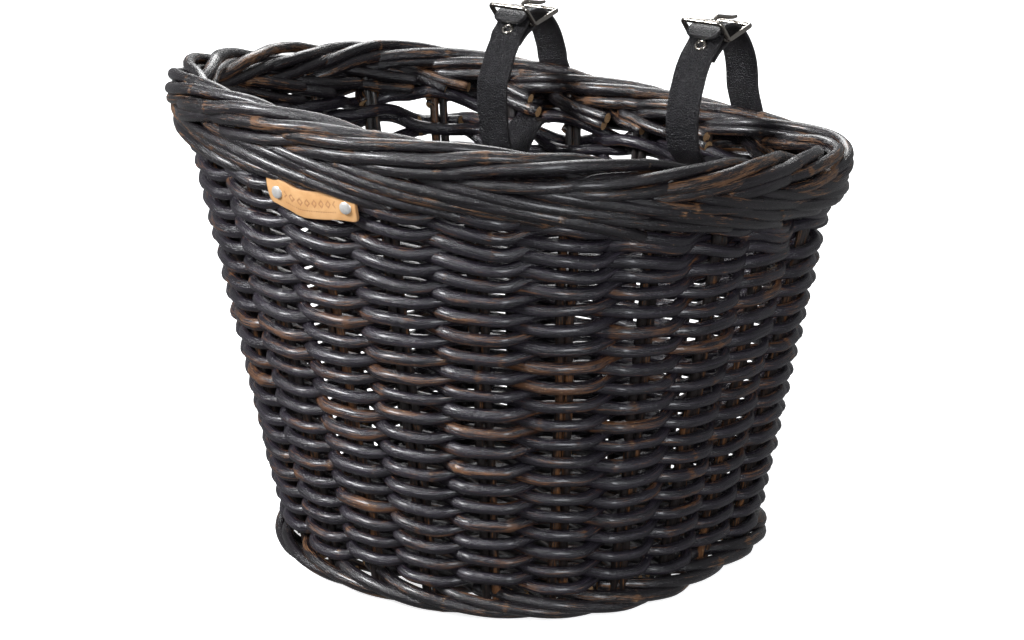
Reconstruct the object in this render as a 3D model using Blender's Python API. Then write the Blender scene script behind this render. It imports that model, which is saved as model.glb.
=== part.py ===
"""Hand-woven rattan handlebar basket with two buckled leather straps.

Units are metres, +Z is up, +Y is towards the handlebar. The basket stands on its foot at Z = 0.
Every piece is its own closed solid, with a small gap to each of its neighbours.
"""

import math

import bmesh
import bpy
import numpy as np

MM = 0.001

# Plan of the wall's middle surface: half width, depth to the front, depth to the back.
RIM_PLAN = np.array([174.5, 175.5, 135.5])
BASE_PLAN = np.array([124.5, 117.5, 104.5])
PLAN_HEIGHT = 273.0  # height at which the plan reaches RIM_PLAN
FRONT_ROUND, BACK_ROUND = 2.28, 4.2  # superellipse powers: round front, flat back with round corners
PLAN_Y = 21.5  # moves the plan so that the whole object is centred on the Z axis

# The rim runs higher at the front and a little higher on the left.
RIM_LEVEL, RIM_FALL_BACK, RIM_FALL_RIGHT = 273.0, 0.132, 0.055
BORDER_WIDE, BORDER_TALL, BORDER_OUT = 27.0, 28.0, 3.0

STAKES = 22
STAKE_PHASE, STAKE_SHIFT = 0.758, 0.009
CANE = 5.4
WAVE = 6.4  # how far a course swings each side of the stakes
COURSE_THICK = 5.2
COURSES = 11
FOOT_TOP, WEAVE_TOP = 18.0, 204.0
FOOT_WIDE = 17.0
GAP = 0.3

BASE_LOW, BASE_HIGH = 8.5, 15.5
BASE_STICKS = 4

STRAP_X = 70.0
STRAP_WIDE, STRAP_THICK = 22.0, 2.4
BAR_R, WIRE_R = 1.6, 1.5
FRAME_HALF = 13.2  # from the strap's middle to the middle of a frame's side
PRONG_WIDE = 3.0
SLOT_WIDE = 4.6
EYELET_R = 2.3
STRAPS = {
    "left": {"x": -STRAP_X, "top": -7.0, "low": 6.0, "back": 2.6, "sag": 19.0},
    "right": {"x": STRAP_X, "top": 0.0, "low": 0.0, "back": 0.0, "sag": 0.0},
}

LABEL_X = (-34.0, 27.0)
LABEL_SHARES = (0.0, 0.22, 0.38, 0.60, 0.80, 1.0)
LABEL_HEIGHTS = (252.6, 249.2, 246.2, 247.0, 248.8, 249.2)
LABEL_TALL, LABEL_THICK, LABEL_OUT = 16.4, 2.0, 10.8
LABEL_RIVETS = (-26.4, 20.6)
LABEL_HOLE_R = 1.9

COLOURS = {
    "cane": (0.055, 0.045, 0.042, 1),
    "stake": (0.11, 0.07, 0.045, 1),
    "strap_leather": (0.03, 0.03, 0.032, 1),
    "label_leather": (0.62, 0.42, 0.24, 1),
    "nickel": (0.72, 0.70, 0.67, 1),
}


def clear_scene():
    for obj in list(bpy.data.objects):
        bpy.data.objects.remove(obj, do_unlink=True)


def material(name, slot):
    """A plain Principled material of the slot's colour, made for one piece."""
    made = bpy.data.materials.new(name)
    made.use_nodes = True
    shader = made.node_tree.nodes["Principled BSDF"]
    shader.inputs["Base Color"].default_value = COLOURS[slot]
    shader.inputs["Metallic"].default_value = 1.0 if slot == "nickel" else 0.0
    shader.inputs["Roughness"].default_value = 0.25 if slot == "nickel" else 0.55
    return made


def solid(name, points, faces, slot, origin=(0, 0, 0), round_faces=False):
    """One closed body. Points and origin are in millimetres."""
    origin = np.array(origin, float)
    mesh = bpy.data.meshes.new(name)
    mesh.from_pydata([tuple(p) for p in (np.asarray(points, float) - origin) * MM], [], faces)
    work = bmesh.new()
    work.from_mesh(mesh)
    bmesh.ops.recalc_face_normals(work, faces=work.faces)
    work.to_mesh(mesh)
    work.free()
    if round_faces:
        mesh.polygons.foreach_set("use_smooth", [True] * len(mesh.polygons))
    obj = bpy.data.objects.new(name, mesh)
    obj.location = tuple(origin * MM)
    bpy.context.scene.collection.objects.link(obj)
    if slot:
        mesh.materials.append(material(name + "_" + slot, slot))
    return obj


def combine(target, other, operation):
    """Cuts other from target, or adds it, with an exact Boolean. The helper is left out of the object."""
    other.hide_render = True
    other.display_type = "WIRE"
    step = target.modifiers.new(operation.lower() + "_" + other.name, "BOOLEAN")
    step.operation = operation
    step.solver = "EXACT"
    step.object = other


def loft(rings, closed):
    """Faces between rings of points, capped at both ends unless the rings close on themselves."""
    rings = np.asarray(rings, float)
    count, around = rings.shape[:2]
    faces = []
    for i in range(count if closed else count - 1):
        j = (i + 1) % count
        for k in range(around):
            n = (k + 1) % around
            faces.append((i * around + k, i * around + n, j * around + n, j * around + k))
    if not closed:
        faces.append(tuple(range(around)))
        faces.append(tuple(range((count - 1) * around, count * around)))
    return rings.reshape(-1, 3), faces


def extrude_outline(outline, x_low, x_high):
    """A closed outline of (y, z) points, pulled along X."""
    outline = np.asarray(outline, float)
    ends = [np.column_stack([np.full(len(outline), x), outline]) for x in (x_low, x_high)]
    return loft(ends, closed=False)


def circle(radius, count, turn=0.0):
    angles = np.arange(count) * 2 * math.pi / count + turn
    return radius * np.column_stack([np.cos(angles), np.sin(angles)])


# ---------------------------------------------------------------- the wall's surface


def plan_point(angle, height, out=0.0):
    """A point on the wall's middle surface, moved outwards along the plan's normal."""
    share = height / PLAN_HEIGHT
    wide, front, back = BASE_PLAN * (1 - share) + RIM_PLAN * share
    c, s = math.cos(angle), math.sin(angle)
    power = FRONT_ROUND if s < 0 else BACK_ROUND
    deep = front if s < 0 else back
    x = wide * math.copysign(abs(c) ** (2 / power), c)
    y = deep * math.copysign(abs(s) ** (2 / power), s)
    nx = math.copysign(abs(x / wide) ** (power - 1) / wide, x)
    ny = math.copysign(abs(y / deep) ** (power - 1) / deep, y)
    size = math.hypot(nx, ny)
    return np.array([x + out * nx / size, y + PLAN_Y + out * ny / size, height])


def angle_table():
    """Angles against the share of the way round, from the middle of the back, towards -X."""
    angles = np.linspace(math.pi / 2, 2.5 * math.pi, 2881)
    points = np.array([plan_point(a, 174.0)[:2] for a in angles])
    steps = np.linalg.norm(np.diff(points, axis=0), axis=1)
    shares = np.concatenate([[0], np.cumsum(steps)])
    return shares / shares[-1], angles


SHARES, ANGLES = angle_table()


def angle_at(place):
    """Angle on the plan at a place counted in stakes: 0 is the first stake, 0.5 is midway to the next."""
    share = (place + STAKE_PHASE) / STAKES
    share += STAKE_SHIFT * 0.5 * (1 + math.cos(2 * math.pi * share))
    return float(np.interp(share % 1.0, SHARES, ANGLES))


def rim_height(angle):
    """Height of the rim's top at an angle on the plan."""
    x, y, _ = plan_point(angle, PLAN_HEIGHT)
    return RIM_LEVEL - RIM_FALL_BACK * (y - PLAN_Y) - RIM_FALL_RIGHT * x


def border_underside(angle):
    return rim_height(angle) - BORDER_TALL


def swing(place, phase):
    """Which side of the stakes a course is on: 1 outside, -1 inside, 0 while it crosses."""
    near = round(place)
    return 0.0 if abs(place - near) > 0.3 else (1.0 if (near + phase) % 2 == 0 else -1.0)


def course_places(start=0, end=STAKES):
    return [k + step for k in range(start, end) for step in (-0.17, 0.17, 0.5)]


def woven_course(name, phase, low, high, places, closed):
    """A band that passes in front of one stake pair and behind the next. low and high give heights."""
    rings = []
    for place in places:
        angle = angle_at(place)
        side = swing(place, phase) * WAVE
        corners = []
        for height, edge in ((low, -1), (low, 1), (high, 1), (high, -1)):
            corners.append(plan_point(angle, height(angle), side + edge * COURSE_THICK / 2))
        rings.append(corners)
    points, faces = loft(rings, closed)
    return solid(name, points, faces, "cane")


# ---------------------------------------------------------------- the wicker


def build_courses():
    tall = (WEAVE_TOP - FOOT_TOP) / COURSES
    for i in range(COURSES):
        low = FOOT_TOP + i * tall + GAP
        high = FOOT_TOP + (i + 1) * tall
        name = f"weave_course_{i + 1:02d}"
        woven_course(name, i, lambda a, h=low: h, lambda a, h=high: h, course_places(), True)


def zone(share):
    """Heights at a share of the way from the top course to the underside of the rim's border."""
    return lambda a: WEAVE_TOP + share * (border_underside(a) - WEAVE_TOP)


def build_upper_rows():
    """Above the level courses the rows fan out to follow the sloping rim. Two of them only cover the front."""
    woven_course("open_course", COURSES + 1, zone(0.29), zone(0.58), course_places(), True)
    front = course_places(6, 16)[1:]
    woven_course("packing_course_lower", COURSES, zone(0.03), zone(0.25), front, False)
    woven_course("packing_course_upper", COURSES, zone(0.62), zone(0.96), front, False)


def build_stakes():
    """Pairs of upright canes, one body a pair, from the foot to the border."""
    half = CANE / 2
    lobe = [(math.cos(t), math.sin(t)) for t in np.radians([-126, -75, -25, 25, 75, 126])]
    profile = [(half + half * c, half * s) for c, s in lobe]
    profile += [(-a, -b) for a, b in profile]
    for k in range(STAKES):
        angle = angle_at(k)
        foot, top = (plan_point(angle, h) for h in (FOOT_TOP + GAP, border_underside(angle) - GAP))
        normal = plan_point(angle, 100, 1) - plan_point(angle, 100)
        along = np.array([-normal[1], normal[0], 0])
        rings = [[end + a * along + b * normal for a, b in profile] for end in (foot, top)]
        points, faces = loft(rings, closed=False)
        solid(f"stake_pair_{k + 1:02d}", points, faces, "stake", origin=foot, round_faces=True)


def build_border():
    """The rolled rim, a ring of round section whose middle follows the sloping rim."""
    rings = []
    for place in course_places():
        angle = angle_at(place)
        middle = rim_height(angle) - BORDER_TALL / 2
        section = circle(1.0, 10, math.pi / 10) * (BORDER_WIDE / 2, BORDER_TALL / 2)
        core = plan_point(angle, middle, BORDER_OUT)
        normal = plan_point(angle, middle, BORDER_OUT + 1) - core
        rings.append([core + a * normal + (0, 0, b) for a, b in section])
    points, faces = loft(rings, closed=True)
    solid("rim_border", points, faces, "cane", round_faces=True)


def build_foot():
    """The foot ring, flat underneath, with a soft outer edge."""
    half = FOOT_WIDE / 2
    section = [(-half, 3), (-half + 3, 0), (half - 5, 0), (half - 1, 3), (half + 1, 9), (half, FOOT_TOP), (-half, FOOT_TOP)]
    rings = []
    for place in course_places():
        angle = angle_at(place)
        core = plan_point(angle, 9.0)
        normal = plan_point(angle, 9.0, 1) - core
        rings.append([core + out * normal + (0, 0, height - 9.0) for out, height in section])
    points, faces = loft(rings, closed=True)
    solid("foot_border", points, faces, "cane")


def inner_outline(count, inset):
    """Outline of the floor inside the foot ring, and the foot's own chords keep it clear."""
    angles = np.arange(count) * 2 * math.pi / count
    return np.array([plan_point(a, 9.0, -FOOT_WIDE / 2 - inset)[:2] for a in angles])


def build_base():
    """The woven floor, on a few sticks that run from front to back under it."""
    outline = inner_outline(48, 0.8)
    rings = [np.column_stack([outline, np.full(len(outline), h)]) for h in (BASE_LOW, BASE_HIGH)]
    points, faces = loft(rings, closed=False)
    solid("base_weave", points, faces, "cane")
    edge = inner_outline(720, 1.0)
    for k in range(BASE_STICKS):
        x = (k - (BASE_STICKS - 1) / 2) * 50.0
        ends = []
        for side in (-1, 1):
            half = edge[(edge[:, 1] - PLAN_Y) * side > 0]
            reach = [half[np.abs(half[:, 0] - (x + e)).argmin(), 1] * side for e in (-4.5, 4.5)]
            ends.append(min(reach) * side)
        section = circle(2.9, 8, math.pi / 8) * (1.45, 1.0)
        rings = [[(x + a, y, BASE_LOW - GAP - 2.9 + b) for a, b in section] for y in ends]
        points, faces = loft(rings, closed=False)
        solid(f"base_stick_{k + 1}", points, faces, "stake", origin=(x, PLAN_Y, 5.3), round_faces=True)


# ---------------------------------------------------------------- straps and buckles


def smooth_path(points, step=4):
    """A Catmull-Rom curve through the points."""
    points = np.asarray(points, float)
    padded = np.vstack([2 * points[0] - points[1], points, 2 * points[-1] - points[-2]])
    made = []
    for i in range(1, len(padded) - 2):
        a, b, c, d = padded[i - 1 : i + 3]
        for t in np.arange(step) / step:
            made.append(
                0.5 * (2 * b + (c - a) * t + (2 * a - 5 * b + 4 * c - d) * t**2 + (3 * b - a - 3 * c + d) * t**3)
            )
    return np.array(made + [points[-1]])


def ribbon(path, thick):
    """Outline of a band of even thickness along a path of (y, z) points."""
    along = np.gradient(path, axis=0)
    along /= np.linalg.norm(along, axis=1)[:, None]
    across = np.column_stack([-along[:, 1], along[:, 0]]) * thick / 2
    return np.vstack([path + across, (path - across)[::-1]])


def bar_centre(strap):
    return np.array([103.0 + PLAN_Y, 299.0 + strap["top"]])


def strap_path(strap):
    """Middle line of the leather: fold, front run, lower run under the rim, rear run, buckled end."""
    top, low = strap["top"], strap["low"]
    back, sunk = strap["back"], strap["low"] - strap["sag"]
    reach = BAR_R + 0.7 + STRAP_THICK / 2
    turn = [(reach * math.cos(t), reach * math.sin(t)) for t in np.radians([-60, -28, 5, 38, 72, 106, 134])]
    fold = [(-12.0, -11.0), (-7.2, -7.2), (-2.8, -4.6)] + turn
    fold = [(103.0 + y, 299.0 + z + top) for y, z in fold]
    front = [(96.4, 297.0 + top), (91.8, 293.2 + top)]
    front += [(y + back, z + top) for y, z in [(87.2, 288.8), (82.6, 282.4), (79.4, 275.6)]]
    lower = [(76.2 + back, 268.0 + top * 0.8), (73.9 + back, 258.0), (73.9 + back, 245.3)]
    lower += [(77.6 + back, 235.0 + sunk)]
    lower += [(86.0, 226.2 + sunk), (95.0, 222.0 + sunk), (105.0, 221.4 + (low + sunk) / 2)]
    lower += [(116.0, 220.8 + low), (131.0, 220.6 + low)]
    rear = [(143.5, 222.8 + low), (150.3, 230.0 + low), (150.8, 240.5 + low), (146.2, 252.0 + low / 2)]
    rear += [(142.2, 262.0), (141.0, 271.0 + top / 2), (138.8, 280.0 + top), (134.6, 288.6 + top)]
    end = [(128.0, 297.3), (120.5, 303.4), (112.5, 306.5), (104.0, 306.6), (97.5, 305.2), (91.5, 301.2)]
    end = [(y, z + top) for y, z in end]
    path = smooth_path(fold + front + lower + rear + end, 2)
    return path + (PLAN_Y, 0.0)


def turned(profile, base, axis, count=14):
    """Rings of points for a profile of (radius, height) turned about an axis."""
    axis = np.asarray(axis, float) / np.linalg.norm(axis)
    first = np.cross(axis, (0, 0, 1.0)) if abs(axis[2]) < 0.9 else np.array([1.0, 0, 0])
    first /= np.linalg.norm(first)
    second = np.cross(axis, first)
    rings = []
    for radius, height in profile:
        rings.append([base + axis * height + a * first + b * second for a, b in circle(radius, count)])
    return loft(rings, closed=False)


def strap_rivet_place(strap):
    """Middle of the rivet, between the two layers, and the direction its head faces."""
    y, z = bar_centre(strap)
    head = np.array([0.0, -0.665, 0.747])
    return np.array([strap["x"], y - 7.6, z - 5.2]), head


def build_strap(side, strap):
    x = strap["x"]
    y, z = bar_centre(strap)
    pivot = (x, 138.3 + PLAN_Y - 3.5, 241.0)
    half = STRAP_WIDE / 2
    points, faces = extrude_outline(ribbon(strap_path(strap), STRAP_THICK), x - half, x + half)
    obj = solid("strap_" + side, points, faces, "strap_leather", origin=pivot)
    outline = [(-5.6, -6.6), (11.5, -6.6), (11.5, 14.0), (-8.5, 14.0), (-8.5, 2.5), (-5.6, 0.0)]
    points, faces = extrude_outline([(y + a, z + b) for a, b in outline], x - SLOT_WIDE / 2, x + SLOT_WIDE / 2)
    slot = solid("prong_slot_cut_" + side, points, faces, None)
    combine(obj, slot, "DIFFERENCE")
    middle, head = strap_rivet_place(strap)
    points, faces = turned([(EYELET_R, -5.5), (EYELET_R, 4.8)], middle, head)
    combine(obj, solid("strap_rivet_cut_" + side, points, faces, None), "DIFFERENCE")
    profile = [(3.4, -4.2), (3.4, -3.5), (1.9, -3.45), (1.9, 3.15), (4.0, 3.2), (4.0, 3.7), (3.2, 4.4), (1.2, 4.6)]
    points, faces = turned(profile, middle, head)
    solid("strap_rivet_" + side, points, faces, "nickel", origin=middle, round_faces=True)


def build_buckle(side, strap):
    """A wire frame bent in a shallow V, with a bar across its lowest line, and a prong on that bar."""
    x = strap["x"]
    y, z = bar_centre(strap)
    axis = (x, y, z)
    corners = [(-1, -9.6, 11.2), (1, -9.6, 11.2), (1, 0, 0), (1, 25.0, 5.0), (-1, 25.0, 5.0), (-1, 0, 0)]
    path = np.array([(x + FRAME_HALF * s, y + a, z + b) for s, a, b in corners])
    rings = []
    for i, here in enumerate(path):
        before, after = path[i - 1], path[(i + 1) % len(path)]
        inward = (here - before) / np.linalg.norm(here - before)
        onward = (after - here) / np.linalg.norm(after - here)
        along = inward + onward
        along /= np.linalg.norm(along)
        up = np.cross(np.cross(inward, onward), along)
        up /= np.linalg.norm(up)
        side_way = np.cross(along, up)
        stretch = 1 / math.sqrt(max(0.3, (1 + float(inward @ onward)) / 2))
        rings.append([here + WIRE_R * (stretch * a * up + b * side_way) for a, b in circle(1.0, 8, math.pi / 8)])
    # Each ring starts from the point nearest to the last ring's first, so that the wire doesn't twist.
    for i in range(1, len(rings)):
        nearest = min(range(8), key=lambda s: np.linalg.norm(np.roll(rings[i], -s, axis=0) - rings[i - 1], axis=1).sum())
        flipped = rings[i][::-1]
        other = min(range(8), key=lambda s: np.linalg.norm(np.roll(flipped, -s, axis=0) - rings[i - 1], axis=1).sum())
        straight = np.roll(rings[i], -nearest, axis=0)
        mirrored = np.roll(flipped, -other, axis=0)
        miss = [np.linalg.norm(r - rings[i - 1], axis=1).sum() for r in (straight, mirrored)]
        rings[i] = straight if miss[0] <= miss[1] else mirrored
    points, faces = loft(rings, closed=True)
    frame = solid("buckle_frame_" + side, points, faces, "nickel", origin=axis)
    ends = [[(x + s * FRAME_HALF, y + a, z + b) for a, b in circle(BAR_R, 10)] for s in (-1, 1)]
    points, faces = loft(ends, closed=False)
    combine(frame, solid("centre_bar_add_" + side, points, faces, None, origin=axis), "UNION")

    ring_in, ring_out = BAR_R + 0.25, BAR_R + 1.75
    tongue_top = [(2.2, 4.5), (4.6, 10.6), (7.0, 12.4), (11.0, 12.0), (25.0, 9.2), (30.2, 8.6)]
    tongue_low = [(30.2, 7.4), (25.0, 7.2), (11.0, 9.9), (8.0, 10.1), (6.6, 9.2), (4.8, 4.4)]
    start, stop = math.radians(75), math.radians(20)
    sweep = np.linspace(start, stop + 2 * math.pi, 17)
    outer = [(ring_out * math.cos(t), ring_out * math.sin(t)) for t in sweep]
    outline = outer + tongue_low[::-1] + tongue_top[::-1]
    hole = [(ring_in * math.cos(t), ring_in * math.sin(t)) for t in np.arange(12) * math.pi / 6]
    points, faces = extrude_outline(np.array(outline) + (y, z), x - PRONG_WIDE / 2, x + PRONG_WIDE / 2)
    prong = solid("prong_" + side, points, faces, "nickel", origin=axis)
    points, faces = extrude_outline(np.array(hole) + (y, z), x - PRONG_WIDE, x + PRONG_WIDE)
    combine(prong, solid("prong_hole_cut_" + side, points, faces, None, origin=axis), "DIFFERENCE")


# ---------------------------------------------------------------- the label


def label_frame(x):
    """Middle of the label's thickness at x, and the outward normal there."""
    share = (x - LABEL_X[0]) / (LABEL_X[1] - LABEL_X[0])
    height = float(np.interp(share, LABEL_SHARES, LABEL_HEIGHTS))
    angles = ANGLES[(ANGLES > math.pi) & (ANGLES < 2 * math.pi)]
    angle = min(angles[::4], key=lambda a: abs(plan_point(a, height, LABEL_OUT)[0] - x))
    middle = plan_point(angle, height, LABEL_OUT)
    return middle, plan_point(angle, height, LABEL_OUT + 1) - middle


def build_label():
    rings = []
    for x in np.linspace(LABEL_X[0], LABEL_X[1], 13):
        middle, normal = label_frame(x)
        half = LABEL_TALL / 2
        lean = (RIM_PLAN[1] - BASE_PLAN[1]) / PLAN_HEIGHT
        corners = []
        for up, out in ((-half, -1), (-half, 1), (half, 1), (half, -1)):
            corners.append(middle + normal * (out * LABEL_THICK / 2 + up * lean) + (0, 0, up))
        rings.append(corners)
    points, faces = loft(rings, closed=False)
    label = solid("label", points, faces, "label_leather")
    for name, x in zip(("left", "right"), LABEL_RIVETS):
        middle, normal = label_frame(x)
        points, faces = turned([(LABEL_HOLE_R, -3), (LABEL_HOLE_R, 3)], middle, normal, 12)
        combine(label, solid("label_rivet_cut_" + name, points, faces, None), "DIFFERENCE")
        profile = [(1.5, -1.4), (1.5, 1.8), (3.6, 1.9), (3.5, 2.4), (2.4, 3.3), (0.9, 3.7)]
        points, faces = turned(profile, middle, normal, 14)
        solid("label_rivet_" + name, points, faces, "nickel", origin=middle, round_faces=True)


def main():
    clear_scene()
    build_foot()
    build_base()
    build_courses()
    build_upper_rows()
    build_stakes()
    build_border()
    build_label()
    for side, strap in STRAPS.items():
        build_strap(side, strap)
        build_buckle(side, strap)


main()
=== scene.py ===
"""The looks of the handlebar basket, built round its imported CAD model.

Shapes are worked out in millimetres, in the row frame, and meshes are made in metres. A place on the wall is
counted in stake pairs, anticlockwise from above, and a height is measured from the surface it stands on.
"""

import math

import bmesh
import bpy
import numpy as np
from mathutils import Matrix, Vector


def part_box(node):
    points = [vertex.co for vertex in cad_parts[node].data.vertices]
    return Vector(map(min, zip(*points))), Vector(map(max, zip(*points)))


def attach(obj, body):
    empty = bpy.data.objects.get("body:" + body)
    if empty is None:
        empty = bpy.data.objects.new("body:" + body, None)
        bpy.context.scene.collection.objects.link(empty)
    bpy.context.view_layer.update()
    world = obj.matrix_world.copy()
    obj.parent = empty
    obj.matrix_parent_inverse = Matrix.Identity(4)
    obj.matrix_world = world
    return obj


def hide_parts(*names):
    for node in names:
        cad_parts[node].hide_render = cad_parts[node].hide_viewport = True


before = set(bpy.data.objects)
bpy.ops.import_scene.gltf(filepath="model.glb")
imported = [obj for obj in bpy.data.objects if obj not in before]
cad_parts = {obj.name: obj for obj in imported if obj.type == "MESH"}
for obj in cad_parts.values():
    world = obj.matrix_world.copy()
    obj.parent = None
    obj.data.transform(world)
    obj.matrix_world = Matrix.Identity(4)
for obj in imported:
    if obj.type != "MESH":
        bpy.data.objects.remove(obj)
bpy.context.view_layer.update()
MM = 0.001

# The plan: half width, depth to the front and depth to the back, at the rim and at the base.
RIM_PLAN = np.array([174.5, 175.5, 135.5])
BASE_PLAN = np.array([124.5, 117.5, 104.5])
PLAN_HEIGHT = 273.0
FRONT_ROUND, BACK_ROUND = 2.28, 4.2
PLAN_Y = 21.5
RIM_LEVEL, RIM_FALL_BACK, RIM_FALL_RIGHT = 273.0, 0.132, 0.055

STAKES = 22
STAKE_PHASE, STAKE_SHIFT = 0.758, 0.009
STAKE_R = 2.7
STAKE_INTO_BORDER = 17.0
CANE_R, FAN_R, BORDER_R, FOOT_R = 3.45, 3.8, 3.7, 3.6
ROWS = 32
FOOT_TOP, WEAVE_TOP = 18.0, 204.0
COURSES = 11
WAVE = 6.3

FLOOR_LEVEL, FLOOR_WAVE, FLOOR_CANE_R = 12.0, 4.4, 2.65
STICK_R, STICK_GAP = 3.0, 50.0

BORDER_DEPTH_FRONT, BORDER_DEPTH_BACK = 1.0, 0.8
BORDER_LOW = 37.0
FOOT_OUT = 0.6

STRAP_WIDE, STRAP_THICK, STRAP_CORNER, STRAP_TIP = 22.0, 2.4, 0.75, 5.5
BAR_R, WIRE_R, PRONG_R = 1.6, 1.5, 1.05
FRAME_HALF, FRAME_BEND = 13.2, 2.6
# The buckle frame's ends, in front of the centre bar and behind it: distance back and height from the bar.
FRAME_FRONT, FRAME_REAR = (-9.6, 11.2), (25.0, 5.0)
PRONG_RING = 2.6
PRONG_TONGUE = (
    (3.0, 4.2), (4.6, 7.6), (6.0, 10.0), (8.2, 11.3), (12.0, 10.8), (18.0, 9.5), (25.0, 8.25), (30.0, 8.0),
)
RIVET_FROM_BAR, RIVET_HEAD = (-7.6, -5.2), (0.0, -0.665, 0.747)
BAR_Y, BAR_Z = 124.5, 299.0
STRAPS = {
    "left": {"x": -70.0, "top": -7.0, "low": 6.0, "back": 2.6, "sag": 19.0},
    "right": {"x": 70.0, "top": 0.0, "low": 0.0, "back": 0.0, "sag": 0.0},
}

LABEL_X = (-34.0, 27.0)
LABEL_SHARES = (0.0, 0.22, 0.38, 0.60, 0.80, 1.0)
LABEL_HEIGHTS = (252.6, 249.2, 246.2, 247.0, 248.8, 249.2)
LABEL_TALL, LABEL_THICK, LABEL_OUT = 16.4, 2.0, 10.8
LABEL_RIVETS = (-26.4, 20.6)
LABEL_EDGE, LABEL_CORNER = 0.55, 2.6
LOZENGE_PITCH, DOT_PITCH = 5.0, 1.25

CAMERA_AZIMUTH, CAMERA_ELEVATION = 35.5, 17.2
CAMERA_DISTANCE, CAMERA_LENS = 1.820, 107.5
CAMERA_TARGET, CAMERA_SHIFT = (-0.001, 0.0225, 0.130), 0.011
BACKDROP_RADIUS = 14.0
FLOOR_GLOW = 0.80
SKY_STRENGTH = 0.20
LIGHTS = (
    ("key_front_left", (-0.95, -1.3, 1.3), (0.55, 0.45), 66, (0.97, 0.98, 1.0)),
    ("top_soft", (-0.3, 0.3, 1.9), (0.9, 0.6), 6, (0.98, 0.99, 1.0)),
    ("fill_right", (1.5, -1.0, 0.7), (0.4, 0.8), 22, (0.93, 0.96, 1.0)),
    ("back_left", (-0.9, 1.2, 1.0), (0.6, 0.6), 10, (1.0, 1.0, 1.0)),
)


# ---------------------------------------------------------------- the wall's surface


def signed_power(value, power):
    return np.sign(value) * np.abs(value) ** power


def plan_at(angle, height, out=0.0):
    """Points of the wall's middle surface at angles on the plan, moved outwards along its normal."""
    angle, height, out = np.broadcast_arrays(np.asarray(angle, float), height, out)
    share = (height / PLAN_HEIGHT)[..., None]
    size = BASE_PLAN * (1 - share) + RIM_PLAN * share
    c, s = np.cos(angle), np.sin(angle)
    power = np.where(s < 0, FRONT_ROUND, BACK_ROUND)
    wide, deep = size[..., 0], np.where(s < 0, size[..., 1], size[..., 2])
    x, y = wide * signed_power(c, 2 / power), deep * signed_power(s, 2 / power)
    nx, ny = signed_power(x / wide, power - 1) / wide, signed_power(y / deep, power - 1) / deep
    length = np.hypot(nx, ny)
    return np.stack([x + out * nx / length, y + PLAN_Y + out * ny / length, height + 0.0 * x], axis=-1)


def angle_table():
    angles = np.linspace(math.pi / 2, 2.5 * math.pi, 2881)
    points = plan_at(angles, 174.0)[:, :2]
    shares = np.concatenate([[0], np.cumsum(np.linalg.norm(np.diff(points, axis=0), axis=1))])
    return shares / shares[-1], angles


SHARES, ANGLES = angle_table()


def angle_at(place):
    share = (np.asarray(place, float) + STAKE_PHASE) / STAKES
    share = share + STAKE_SHIFT * 0.5 * (1 + np.cos(2 * math.pi * share))
    return np.interp(share % 1.0, SHARES, ANGLES)


def wall(place, height, out=0.0):
    return plan_at(angle_at(place), height, out)


def rim_height(place):
    edge = plan_at(angle_at(place), PLAN_HEIGHT)
    return RIM_LEVEL - RIM_FALL_BACK * (edge[..., 1] - PLAN_Y) - RIM_FALL_RIGHT * edge[..., 0]


def backness(place):
    """0 along the front and the sides, 1 along the flat back."""
    y = plan_at(angle_at(place), PLAN_HEIGHT)[..., 1] - PLAN_Y
    share = np.clip((y - 20) / 100, 0, 1)
    return share * share * (3 - 2 * share)


def border_depth(place):
    return BORDER_DEPTH_FRONT + (BORDER_DEPTH_BACK - BORDER_DEPTH_FRONT) * backness(place)


def border_underside(place):
    return rim_height(place) - BORDER_LOW * border_depth(place)


# ---------------------------------------------------------------- canes


def smooth_path(points, step=4):
    """A Catmull-Rom curve through the points."""
    points = np.asarray(points, float)
    padded = np.vstack([2 * points[0] - points[1], points, 2 * points[-1] - points[-2]])
    t = (np.arange(step) / step)[:, None]
    made = []
    for i in range(1, len(padded) - 2):
        a, b, c, d = padded[i - 1 : i + 3]
        square, cube = 2 * a - 5 * b + 4 * c - d, 3 * b - a - 3 * c + d
        made.append(0.5 * (2 * b + (c - a) * t + square * t**2 + cube * t**3))
    return np.vstack(made + [points[-1:]])


def even_path(points, gap):
    """The same line with points about gap apart."""
    lengths = np.concatenate([[0], np.cumsum(np.linalg.norm(np.diff(points, axis=0), axis=1))])
    count = max(4, int(lengths[-1] / gap) + 1)
    at = np.linspace(0, lengths[-1], count)
    return np.column_stack([np.interp(at, lengths, points[:, i]) for i in range(3)]), at


def frames_along(path):
    """Two directions square to the path at each point, which don't twist along it."""
    along = np.gradient(path, axis=0)
    along /= np.linalg.norm(along, axis=1)[:, None]
    start = np.cross(along[0], (0, 0, 1.0))
    if np.linalg.norm(start) < 0.2:
        start = np.cross(along[0], (0, 1.0, 0))
    first = np.empty_like(path)
    first[0] = start / np.linalg.norm(start)
    for i in range(1, len(path)):
        side = first[i - 1] - along[i] * (first[i - 1] @ along[i])
        first[i] = side / np.linalg.norm(side)
    return first, np.cross(along, first)


def waves(random, place, reach, count=9, low=1):
    """Smooth noise round the basket, of about the given reach."""
    total = np.zeros_like(np.asarray(place, float))
    for m in range(low, low + count):
        total += np.sin(2 * math.pi * m * place / STAKES + random.uniform(0, 6.28))
    return reach * total / math.sqrt(count)


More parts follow.
